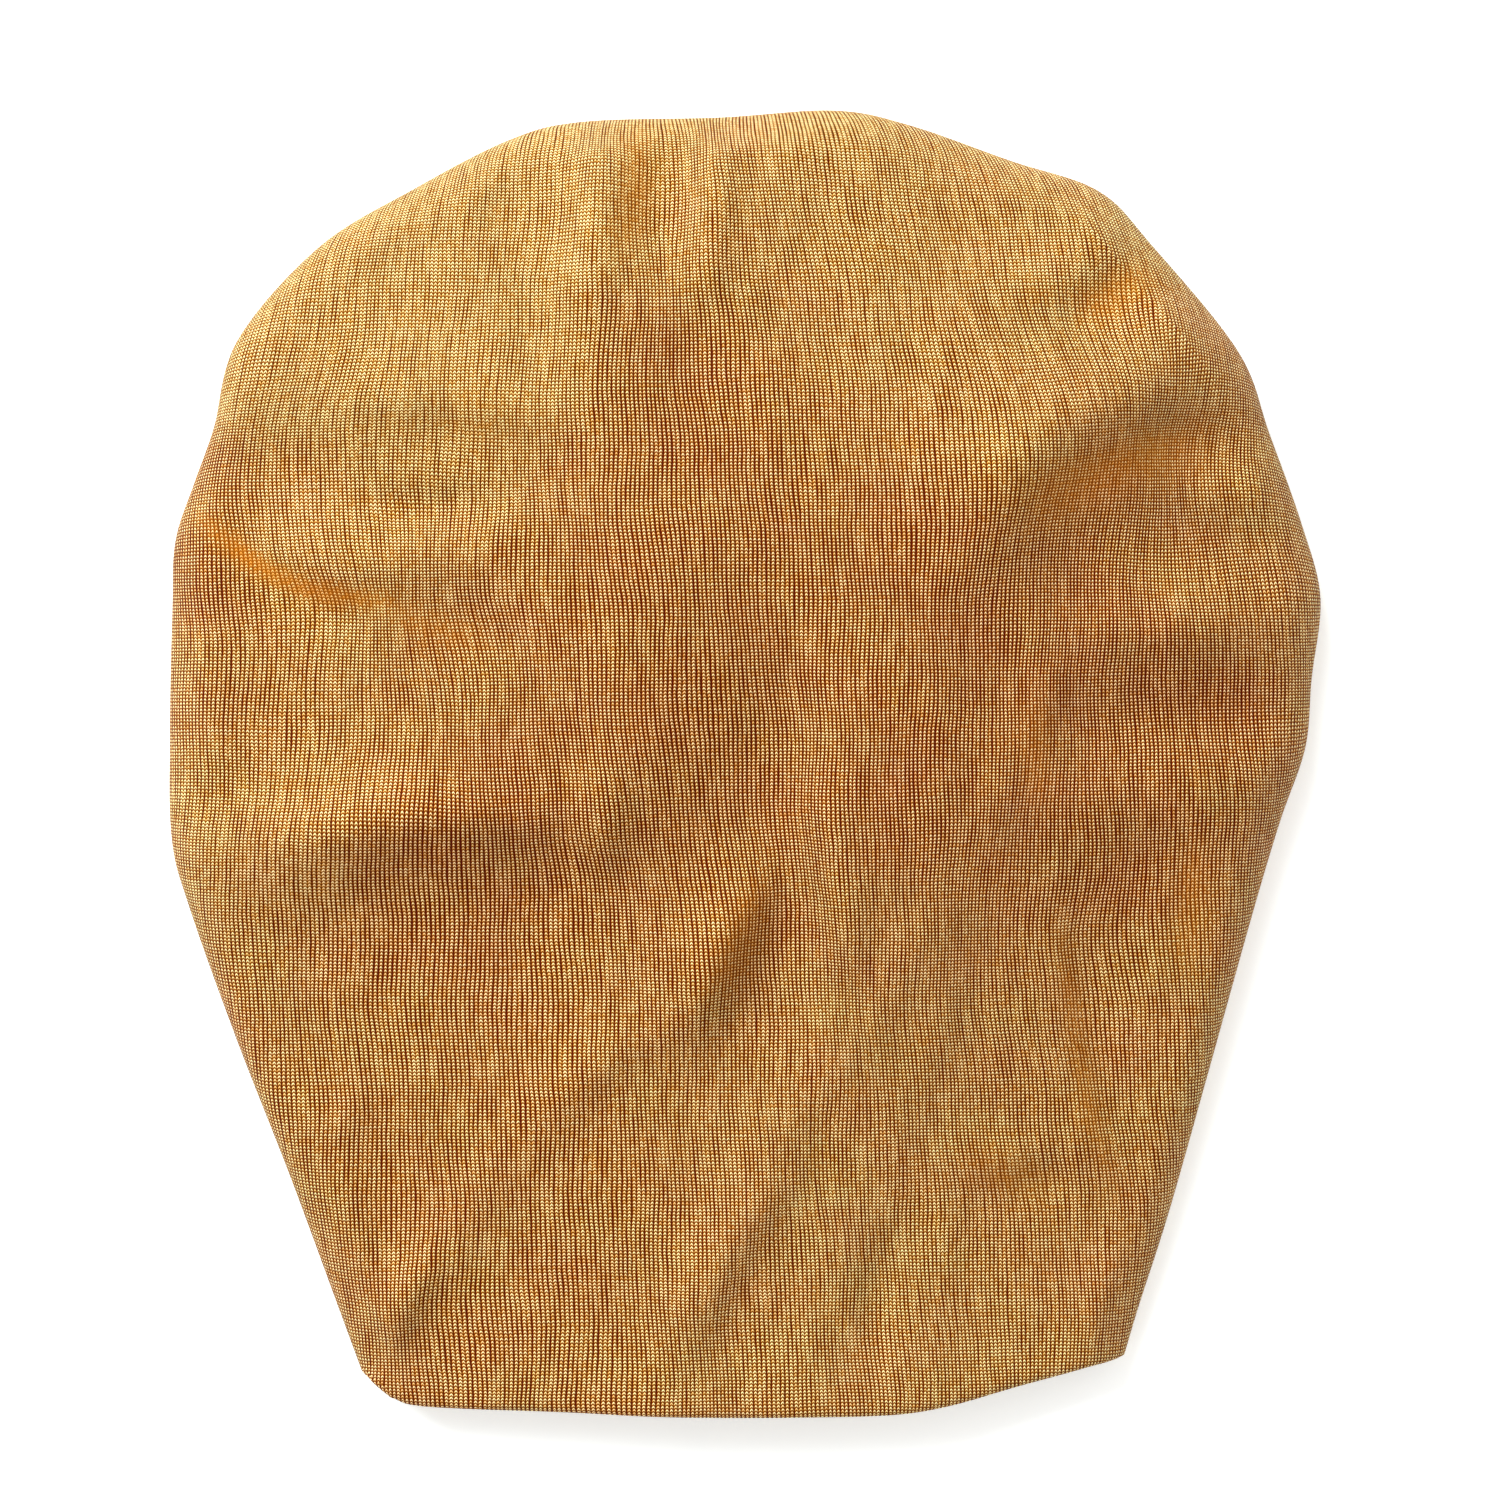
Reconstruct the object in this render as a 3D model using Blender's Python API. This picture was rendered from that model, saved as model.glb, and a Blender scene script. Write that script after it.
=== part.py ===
"""Baby cap of fine golden jersey, laid flat: head opening towards -Y, crown towards +Y, +Z up, in metres.

The cap is one cloth bag. A folded side edge runs up its left side, over the crown and down its right
side. An upper wall and an under wall meet at that edge and part at the head opening, whose hem is open.
"""

from typing import NamedTuple

import bmesh
import bpy
import numpy as np

# Cloth
WALL = 0.0015  # the jersey is laid double
HEM_WALL = 0.0023  # it is turned in along the head opening
HEM_DEPTH = 0.008
HEM_NOSE_ROWS = 2  # rows that round the hem between the outer and the inner face

# Cross-section
EDGE_REACH = 0.0060  # how far the rounding of the folded edge comes in from the outline
EDGE_HALF_HEIGHT = 0.0056  # height of the outline above the table
HEM_HALF_HEIGHT = 0.0042  # the same at the head opening
EDGE_LIFT_RUN = 0.060  # length over which the outline rises from the hem's height
BELLY_RISE = 0.0095  # what the air inside adds to the height in the middle
BELLY_REACH = 0.052  # distance from the outline at which the belly is full
HEM_BELLY_SHARE = 0.12  # share of that rise that is left at the head opening
BELLY_RUN = 0.085  # length over which the belly fills from the head opening
FOLD_FADE = 0.007  # folds die out this close to the outline
FOLD_TAPER = 0.3  # share of a fold's length over which each end dies out
UNDER_HEM_SETBACK = 0.0020  # the under wall's hem lies this much behind the upper one

# Mesh
ACROSS = 36
ALONG = 46
EDGE_ROWS_OVER = 4
EDGE_ROWS_UNDER = 3
SPAN_SAMPLES = 16  # steps between two spots of a smooth path
BUMPS_PER_FLANK = 2  # soft bumps that a fold sets along each flank's width of its path
FEWEST_BUMPS = 6
CORNER_EASE = 0.05  # share of the side edge over which its rounding closes at each hem corner
TINY = 1e-6

CLOTH_COLOUR = (0.50, 0.25, 0.07, 1.0)
CLOTH_ROUGHNESS = 0.8


class Spot(NamedTuple):
    """A point of the outline as seen from above."""

    x: float
    y: float


class Fold(NamedTuple):
    """A ridge, or a valley where height is negative, along a bent path from start to end.

    The flanks are the widths to the left and to the right of the way from start to end.
    """

    name: str
    start: tuple
    bend: tuple
    end: tuple
    height: float
    left_flank: float
    right_flank: float


# The folded edge, from the left corner of the head opening over the crown to the right corner
SIDE_EDGE = (
    Spot(-0.0616, -0.0970),
    Spot(-0.0655, -0.0864),
    Spot(-0.0730, -0.0660),
    Spot(-0.0812, -0.0450),
    Spot(-0.0889, -0.0235),
    Spot(-0.0917, -0.0125),
    Spot(-0.0920, 0.0040),
    Spot(-0.0916, 0.0240),
    Spot(-0.0911, 0.0350),
    Spot(-0.0880, 0.0445),
    Spot(-0.0850, 0.0530),
    Spot(-0.0812, 0.0670),
    Spot(-0.0683, 0.0818),
    Spot(-0.0530, 0.0912),
    Spot(-0.0378, 0.0990),
    Spot(-0.0262, 0.1019),
    Spot(-0.0042, 0.1026),
    Spot(0.0140, 0.1037),
    Spot(0.0260, 0.1014),
    Spot(0.0422, 0.0957),
    Spot(0.0562, 0.0909),
    Spot(0.0648, 0.0822),
    Spot(0.0786, 0.0652),
    Spot(0.0836, 0.0520),
    Spot(0.0886, 0.0380),
    Spot(0.0917, 0.0260),
    Spot(0.0903, 0.0130),
    Spot(0.0893, 0.0020),
    Spot(0.0852, -0.0100),
    Spot(0.0806, -0.0255),
    Spot(0.0742, -0.0485),
    Spot(0.0676, -0.0720),
    Spot(0.0628, -0.0870),
    Spot(0.0606, -0.0944),
)

# The hem of the upper wall between the two corners
HEM_LINE = (
    Spot(-0.0568, -0.1005),
    Spot(-0.0510, -0.1020),
    Spot(-0.0280, -0.1029),
    Spot(-0.0100, -0.1037),
    Spot(0.0190, -0.1035),
    Spot(0.0310, -0.1022),
    Spot(0.0440, -0.0986),
    Spot(0.0550, -0.0957),
)

FOLDS = (
    Fold("crown_swell", (-0.030, 0.030), (-0.002, 0.036), (0.034, 0.036), 0.0050, 0.048, 0.040),
    Fold("belly_ridge", (-0.088, -0.019), (-0.057, -0.009), (-0.028, -0.004), 0.0036, 0.010, 0.010),
    Fold("belly_foot", (-0.088, -0.033), (-0.052, -0.027), (-0.002, -0.018), -0.0026, 0.009, 0.040),
    Fold("belly_pinch", (-0.024, -0.018), (-0.023, -0.006), (-0.023, 0.005), 0.0014, 0.004, 0.007),
    Fold("middle_shelf", (-0.019, -0.018), (-0.018, 0.010), (-0.017, 0.052), 0.0030, 0.016, 0.018),
    Fold("middle_valley", (0.010, -0.030), (0.006, -0.004), (0.007, 0.022), -0.0024, 0.014, 0.005),
    Fold("middle_ridge", (0.022, -0.044), (0.014, -0.006), (0.015, 0.026), 0.0022, 0.006, 0.018),
    Fold("wedge_ridge", (-0.012, -0.046), (-0.005, -0.032), (0.002, -0.015), 0.0030, 0.014, 0.007),
    Fold("wedge_valley", (-0.005, -0.052), (0.004, -0.035), (0.010, -0.017), -0.0012, 0.005, 0.006),
    Fold("long_diagonal", (-0.058, -0.100), (-0.037, -0.063), (-0.010, -0.040), 0.0009, 0.007, 0.004),
    Fold("crown_ridge", (-0.021, 0.046), (-0.025, 0.074), (-0.023, 0.108), 0.0034, 0.009, 0.018),
    Fold("crown_valley", (-0.009, 0.040), (-0.013, 0.074), (-0.013, 0.108), -0.0014, 0.007, 0.007),
    Fold("crown_second", (-0.009, 0.070), (-0.005, 0.090), (0.000, 0.108), 0.0014, 0.005, 0.014),
    Fold("crown_third", (0.011, 0.066), (0.016, 0.084), (0.022, 0.106), 0.0008, 0.007, 0.010),
    Fold("shoulder", (0.032, 0.017), (0.043, 0.048), (0.084, 0.072), 0.0050, 0.024, 0.011),
    Fold("shoulder_foot", (0.038, 0.014), (0.055, 0.034), (0.086, 0.050), -0.0017, 0.010, 0.014),
    Fold("right_fall", (0.024, -0.026), (0.026, 0.002), (0.030, 0.028), 0.0032, 0.016, 0.030),
    Fold("cheek_hollow", (0.052, -0.050), (0.058, -0.034), (0.062, -0.018), -0.0022, 0.018, 0.014),
    Fold("temple_valley", (0.049, 0.067), (0.057, 0.072), (0.067, 0.080), -0.0026, 0.005, 0.006),
    Fold("right_ledge_top", (0.066, 0.040), (0.078, 0.041), (0.090, 0.042), 0.0014, 0.006, 0.005),
    Fold("right_ledge", (0.042, 0.022), (0.066, 0.021), (0.092, 0.025), 0.0012, 0.008, 0.006),
    Fold("right_ledge_foot", (0.046, 0.008), (0.065, 0.006), (0.090, 0.009), -0.0006, 0.006, 0.006),
    Fold("right_ledge_low", (0.046, -0.009), (0.066, -0.006), (0.090, -0.004), 0.0012, 0.008, 0.007),
    Fold("right_pleat_inner", (0.018, -0.108), (0.028, -0.060), (0.039, -0.010), -0.0005, 0.004, 0.004),
    Fold("right_pleat_outer", (0.063, -0.080), (0.056, -0.052), (0.050, -0.012), -0.0010, 0.004, 0.005),
    Fold("hem_diagonal", (-0.016, -0.108), (0.003, -0.064), (0.028, -0.034), 0.0010, 0.007, 0.004),
    Fold("temple_dent", (0.034, -0.069), (0.045, -0.068), (0.056, -0.067), -0.0009, 0.005, 0.006),
    Fold("hem_swell", (-0.040, -0.104), (0.002, -0.102), (0.044, -0.100), 0.0028, 0.045, 0.020),
    Fold("left_upper_ridge", (-0.070, 0.060), (-0.048, 0.060), (-0.026, 0.055), 0.0018, 0.009, 0.006),
    Fold("left_valley", (-0.091, 0.046), (-0.066, 0.043), (-0.040, 0.040), -0.0024, 0.009, 0.006),
    Fold("left_ridge", (-0.088, 0.030), (-0.058, 0.031), (-0.033, 0.032), 0.0016, 0.008, 0.006),
)


def smooth_path(spots, steps):
    """Evenly spaced points on a Catmull-Rom curve through the given ones."""
    knots = np.array(spots, float)
    padded = np.vstack([2 * knots[0] - knots[1], knots, 2 * knots[-1] - knots[-2]])
    t = np.linspace(0, 1, SPAN_SAMPLES, endpoint=False)[:, None]
    spans = [
        b + (c - a) * t / 2 + (a - 2.5 * b + 2 * c - d / 2) * t**2 + (1.5 * (b - c) + (d - a) / 2) * t**3
        for a, b, c, d in zip(padded, padded[1:], padded[2:], padded[3:])
    ]
    dense = np.vstack([*spans, knots[-1:]])
    run = np.append(0, np.cumsum(np.linalg.norm(np.diff(dense, axis=0), axis=1)))
    wanted = np.linspace(0, run[-1], steps + 1)
    return np.column_stack([np.interp(wanted, run, dense[:, k]) for k in (0, 1)])


def ramp(value, length):
    """Smooth rise from 0 at zero to 1 at the given length."""
    share = np.clip(value / length, 0, 1)
    return share * share * (3 - 2 * share)


def unit(vectors):
    """The same directions with a length of one."""
    return vectors / np.maximum(np.linalg.norm(vectors, axis=-1, keepdims=True), TINY)


def edge_distance(points, edge):
    """Distance from each point to the nearest place on the outline."""
    starts, runs = edge[:-1], np.diff(edge, axis=0)
    offsets = points[:, None] - starts
    share = np.clip((offsets * runs).sum(2) / (runs**2).sum(1), 0, 1)
    return np.linalg.norm(offsets - share[..., None] * runs, axis=2).min(1)


def fold_weights(points, path, fold):
    """Sum of the soft bumps that a fold sets along its path, wider to one side than to the other."""
    way = unit(np.gradient(path, axis=0))
    fade = ramp(np.linspace(0, 1, len(path)), FOLD_TAPER) * ramp(np.linspace(1, 0, len(path)), FOLD_TAPER)
    offsets = points[:, None] - path
    gaps = np.linalg.norm(offsets, axis=2)
    leftward = (way[:, 0] * offsets[..., 1] - way[:, 1] * offsets[..., 0]) / np.maximum(gaps, TINY)
    flanks = (fold.left_flank + fold.right_flank + leftward * (fold.left_flank - fold.right_flank)) / 2
    return (fade * np.exp(-((gaps / flanks) ** 2))).sum(1)


def fold_heights(points):
    """What the folds add to the height at each point."""
    total = np.zeros(len(points))
    for fold in FOLDS:
        knots = (fold.start, fold.bend, fold.end)
        length = np.linalg.norm(np.diff(knots, axis=0), axis=1).sum()
        bumps = int(length / min(fold.left_flank, fold.right_flank) * BUMPS_PER_FLANK) + FEWEST_BUMPS
        path = smooth_path(knots, bumps)
        full = fold_weights(np.array([fold.bend]), path, fold)
        total += fold.height * fold_weights(points, path, fold) / full
    return total


def inward_distance(points, edge):
    """Distance in from the outline, which stays smooth in the middle, where the sides are equally near."""
    step = np.linalg.norm(np.diff(edge, axis=0), axis=1).mean()
    gaps = np.maximum(np.linalg.norm(points[:, None] - edge, axis=2), TINY)
    return (step / 2 * (gaps**-3.0).sum(1)) ** -0.5


def behind_hem(points):
    """Distance of each point from the hem line, towards the crown."""
    line = smooth_path(HEM_LINE, ACROSS)
    return points[:, 1] - np.interp(points[:, 0], line[:, 0], line[:, 1])


def outline_height(points):
    """Height of the outline above the table, lower towards the head opening."""
    lift = ramp(behind_hem(points), EDGE_LIFT_RUN)
    return HEM_HALF_HEIGHT + (EDGE_HALF_HEIGHT - HEM_HALF_HEIGHT) * lift


def upper_height(points, edge):
    """Height of the upper wall's outer face at each point, with the outline path given."""
    distance = edge_distance(points, edge)
    rim = outline_height(points)
    shoulder = rim * np.sqrt(1 - (1 - np.clip(distance / EDGE_REACH, 0, 1)) ** 2)
    fullness = 1 - (1 - np.clip(inward_distance(points, edge) / BELLY_REACH, 0, 1)) ** 2
    fill = HEM_BELLY_SHARE + (1 - HEM_BELLY_SHARE) * ramp(behind_hem(points), BELLY_RUN)
    return rim + shoulder + BELLY_RISE * fullness * fill + fold_heights(points) * ramp(distance, FOLD_FADE)


def inner_line(edge):
    """Where the rounding of the folded edge ends: the outline, moved in, with its ends on the hem line."""
    way = np.gradient(edge, axis=0)
    line = edge + EDGE_REACH * unit(np.column_stack([way[:, 1], -way[:, 0]]))
    place = np.linspace(0, 1, len(edge))
    for end, share in ((0, ramp(place, CORNER_EASE)), (-1, ramp(1 - place, CORNER_EASE))):
        corner = np.array(HEM_LINE[end])
        line = line * share[:, None] + (corner + (edge - edge[end])) * (1 - share)[:, None]
    return line


def patch(left, crown, right, hem):
    """A grid of points between four lines: rows from hem to crown, columns from left to right."""
    u = np.linspace(0, 1, len(hem))[None, :, None]
    v = np.linspace(0, 1, len(left))[:, None, None]
    sides = (1 - u) * left[:, None] + u * right[:, None]
    ends = (1 - v) * hem[None] + v * crown[None]
    corners = (1 - v) * ((1 - u) * hem[0] + u * hem[-1]) + v * ((1 - u) * crown[0] + u * crown[-1])
    return sides + ends - corners


def add_points(bm, flat, heights):
    """One vertex for each flat point at its height."""
    return [bm.verts.new((x, y, z)) for (x, y), z in zip(flat, heights)]


def add_strip(bm, first, second):
    """Faces between two rows of vertices of the same length."""
    for a, b, c, d in zip(first, first[1:], second[1:], second):
        bm.faces.new((a, b, c, d))


def outer_skin(bm):
    """The cap's outer face, open at the hem. Returns the loop of vertices round the head opening."""
    edge = smooth_path(SIDE_EDGE, 2 * ALONG + ACROSS)
    inner = inner_line(edge)
    hem = smooth_path(HEM_LINE, ACROSS)
    left, right = inner[: ALONG + 1], inner[ALONG + ACROSS :][::-1]
    grid = patch(left, inner[ALONG : ALONG + ACROSS + 1], right, hem)
    flat = grid.reshape(-1, 2)
    rows = add_points(bm, flat, upper_height(flat, edge))
    rows = [rows[k : k + ACROSS + 1] for k in range(0, len(rows), ACROSS + 1)]
    for low, high in zip(rows, rows[1:]):
        add_strip(bm, low, high)

    band = [row[0] for row in rows] + rows[-1][1:-1] + [row[-1] for row in reversed(rows)]
    left_ends, right_ends = [band[0]], [band[-1]]
    rim = outline_height(edge)
    turns = [("over", k / EDGE_ROWS_OVER) for k in range(1, EDGE_ROWS_OVER + 1)]
    turns += [("under", 1 - k / EDGE_ROWS_UNDER) for k in range(1, EDGE_ROWS_UNDER + 1)]
    for wall, share in turns:
        angle = (1 - share) * np.pi / 2
        ring = edge + (inner - edge) * (1 - np.cos(angle))
        heights = upper_height(ring, edge) if wall == "over" else rim * (1 - np.sin(angle))
        if wall == "under":
            setback = ramp(HEM_DEPTH - behind_hem(ring), HEM_DEPTH) * (1 - share)
            ring = ring + np.column_stack([np.zeros(len(ring)), UNDER_HEM_SETBACK * setback])
        verts = add_points(bm, ring, heights)
        add_strip(bm, band, verts)
        band = verts
        left_ends.append(band[0])
        right_ends.append(band[-1])

    under_hem = hem[1:-1] + (0, UNDER_HEM_SETBACK)
    under = add_points(bm, under_hem, np.zeros(len(under_hem)))
    bm.faces.new(band + under[::-1])
    return rows[0] + right_ends[1:] + under[::-1] + left_ends[1:][::-1]


def add_lining(bm, opening):
    """The inner face, a wall's thickness inside the outer one, joined to it round the hem."""
    bm.normal_update()
    outer = list(bm.verts)
    flat = np.array([v.co[:2] for v in outer])
    turned_in = 1 - ramp(behind_hem(flat), HEM_DEPTH)
    walls = WALL + (HEM_WALL - WALL) * turned_in
    inner = {v: bm.verts.new(v.co - v.normal * wall) for v, wall in zip(outer, walls)}
    for face in list(bm.faces):
        bm.faces.new([inner[v] for v in reversed(face.verts)])
    loops = [opening]
    for k in range(1, HEM_NOSE_ROWS + 1):
        angle = np.pi * k / (HEM_NOSE_ROWS + 1)
        row = []
        for v in opening:
            middle, half = (v.co + inner[v].co) / 2, (v.co - inner[v].co) / 2
            nose = middle + half * np.cos(angle)
            nose.y -= half.length * np.sin(angle)
            row.append(bm.verts.new(nose))
        loops.append(row)
    loops.append([inner[v] for v in opening])
    for first, second in zip(loops, loops[1:]):
        add_strip(bm, second + second[:1], first + first[:1])


def cloth_material():
    """The finish of the golden jersey."""
    material = bpy.data.materials.new("golden_jersey")
    material.use_nodes = True
    shader = material.node_tree.nodes["Principled BSDF"]
    shader.inputs["Base Color"].default_value = CLOTH_COLOUR
    shader.inputs["Roughness"].default_value = CLOTH_ROUGHNESS
    shader.inputs["Metallic"].default_value = 0.0
    return material


def crown():
    """The cap's one piece of cloth."""
    bm = bmesh.new()
    add_lining(bm, outer_skin(bm))
    mesh = bpy.data.meshes.new("crown")
    bm.to_mesh(mesh)
    bm.free()
    mesh.shade_smooth()
    mesh.materials.append(cloth_material())
    return bpy.data.objects.new("crown", mesh)


def main():
    for old in list(bpy.data.objects):
        bpy.data.objects.remove(old)
    bpy.context.scene.collection.objects.link(crown())


main()
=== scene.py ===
"""Baby cap of fine golden jersey, laid flat, face up, on a pale floor.

The cap is one cloth bag. An upper wall and an under wall meet at a folded side edge and part at the head
opening, whose hem is turned in. Outline and folds give the form, a grain table gives the lie of the knit,
and the finish draws the knit's loops along it. The tables are in millimetres and all else is in metres,
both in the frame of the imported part.
"""

import logging
import math
from dataclasses import dataclass
from enum import Enum
from typing import NamedTuple

import bpy
import numpy as np
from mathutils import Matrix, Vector


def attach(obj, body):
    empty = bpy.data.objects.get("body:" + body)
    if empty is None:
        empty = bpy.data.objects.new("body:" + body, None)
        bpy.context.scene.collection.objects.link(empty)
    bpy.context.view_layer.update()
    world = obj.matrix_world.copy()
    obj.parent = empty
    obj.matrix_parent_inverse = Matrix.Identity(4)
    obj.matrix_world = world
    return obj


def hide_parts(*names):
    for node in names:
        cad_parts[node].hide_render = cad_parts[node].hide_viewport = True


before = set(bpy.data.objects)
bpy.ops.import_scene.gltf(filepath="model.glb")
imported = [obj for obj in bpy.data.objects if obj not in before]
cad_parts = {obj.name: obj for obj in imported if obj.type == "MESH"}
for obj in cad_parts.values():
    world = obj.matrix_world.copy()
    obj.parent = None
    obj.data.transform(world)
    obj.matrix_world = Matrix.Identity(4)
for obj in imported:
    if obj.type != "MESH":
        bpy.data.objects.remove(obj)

Array = np.ndarray
Socket = bpy.types.NodeSocket
NODE = "crown"
ROOT = "root"
TINY = 1e-9
MM = 1000  # millimetres in a metre
log = logging.getLogger("cap")


class Side(Enum):
    """The two sides of a jersey knit."""

    FACE = "face"
    REVERSE = "reverse"


class Fold(NamedTuple):
    """A ridge, or a valley where height is negative, along a bent path from start to end, in millimetres.

    The flanks are the widths to the left and to the right of that way.
    """

    name: str
    start: tuple[float, float]
    bend: tuple[float, float]
    end: tuple[float, float]
    height: float
    left_flank: float
    right_flank: float


class Grain(NamedTuple):
    """How the knit lies round one place of the upper wall, with the place and its reach in millimetres."""

    name: str
    x: float
    y: float
    reach: float
    lean: float  # degrees by which the wales lean, to the right where positive, seen from hem to crown
    spread: float  # how far the loops are pulled apart sideways
    gaps: float  # share of the gaps between wales that stand open, partly real and partly raised where the cloth lies in shade, to paint shade into it


def outline(*spots: tuple[float, float]) -> Array:
    """Points of the outline as seen from above, in metres, from millimetres."""
    return np.array(spots) / MM


# The folded edge, from the left corner of the head opening over the crown to the right corner
SIDE_EDGE = outline(
    (-61.6, -97), (-65.5, -86.4), (-73, -66), (-81.2, -45), (-88.9, -23.5), (-91.7, -12.5),
    (-92, 4), (-91.6, 24), (-91.1, 35), (-88, 44.5), (-85, 53), (-81.2, 67), (-68.3, 81.8),
    (-53, 91.2), (-37.8, 99), (-26.2, 101.9), (-4.2, 102.6), (14, 103.7), (26, 101.4), (42.2, 95.7),
    (56.2, 90.9), (64.8, 82.2), (78.6, 65.2), (83.6, 52), (88.6, 38), (91.7, 26), (90.3, 13),
    (89.3, 2), (85.2, -10), (80.6, -25.5), (74.2, -48.5), (67.6, -72), (62.8, -87), (60.6, -94.4),
)

# The hem of the upper wall between the two corners
HEM_LINE = outline(
    (-56.8, -100.5), (-51, -102), (-28, -102.9), (-10, -103.7), (19, -103.5), (31, -102.2),
    (44, -98.6), (55, -95.7),
)

# The main forms, the same as in the solid
MAIN_FOLDS = (
    Fold("crown_swell", (-30, 30), (-2, 36), (34, 36), 5, 48, 40),
    Fold("belly_ridge", (-88, -19), (-57, -9), (-28, -4), 3.6, 10, 10),
    Fold("belly_foot", (-88, -33), (-52, -27), (-2, -18), -2.6, 9, 40),
    Fold("belly_pinch", (-24, -18), (-23, -6), (-23, 5), 1.4, 4, 7),
    Fold("middle_shelf", (-19, -18), (-18, 10), (-17, 52), 3, 16, 18),
    Fold("middle_valley", (10, -30), (6, -4), (7, 22), -2.4, 14, 5),
    Fold("middle_ridge", (22, -44), (14, -6), (15, 26), 2.2, 6, 18),
    Fold("wedge_ridge", (-12, -46), (-5, -32), (2, -15), 3, 14, 7),
    Fold("wedge_valley", (-5, -52), (4, -35), (10, -17), -1.2, 5, 6),
    Fold("long_diagonal", (-58, -100), (-37, -63), (-10, -40), 0.9, 7, 4),
    Fold("crown_ridge", (-21, 46), (-25, 74), (-23, 108), 3.4, 9, 18),
    Fold("crown_valley", (-9, 40), (-13, 74), (-13, 108), -1.4, 7, 7),
    Fold("crown_second", (-9, 70), (-5, 90), (0, 108), 1.4, 5, 14),
    Fold("crown_third", (11, 66), (16, 84), (22, 106), 0.8, 7, 10),
    Fold("shoulder", (32, 17), (43, 48), (84, 72), 5, 24, 11),
    Fold("shoulder_foot", (38, 14), (55, 34), (86, 50), -1.7, 10, 14),
    Fold("right_fall", (24, -26), (26, 2), (30, 28), 3.2, 16, 30),
    Fold("cheek_hollow", (52, -50), (58, -34), (62, -18), -2.2, 18, 14),
    Fold("temple_valley", (49, 67), (57, 72), (67, 80), -2.6, 5, 6),
    Fold("right_ledge_top", (66, 40), (78, 41), (90, 42), 1.4, 6, 5),
    Fold("right_ledge", (42, 22), (66, 21), (92, 25), 1.2, 8, 6),
    Fold("right_ledge_foot", (46, 8), (65, 6), (90, 9), -0.6, 6, 6),
    Fold("right_ledge_low", (46, -9), (66, -6), (90, -4), 1.2, 8, 7),
    Fold("right_pleat_inner", (18, -108), (28, -60), (39, -10), -0.5, 4, 4),
    Fold("right_pleat_outer", (63, -80), (56, -52), (50, -12), -1, 4, 5),
    Fold("hem_diagonal", (-16, -108), (3, -64), (28, -34), 1, 7, 4),
    Fold("temple_dent", (34, -69), (45, -68), (56, -67), -0.9, 5, 6),
    Fold("hem_swell", (-40, -104), (2, -102), (44, -100), 2.8, 45, 20),
    Fold("left_upper_ridge", (-70, 60), (-48, 60), (-26, 55), 1.8, 9, 6),
    Fold("left_valley", (-91, 46), (-66, 43), (-40, 40), -2.4, 9, 6),
    Fold("left_ridge", (-88, 30), (-58, 31), (-33, 32), 1.6, 8, 6),
)

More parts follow.
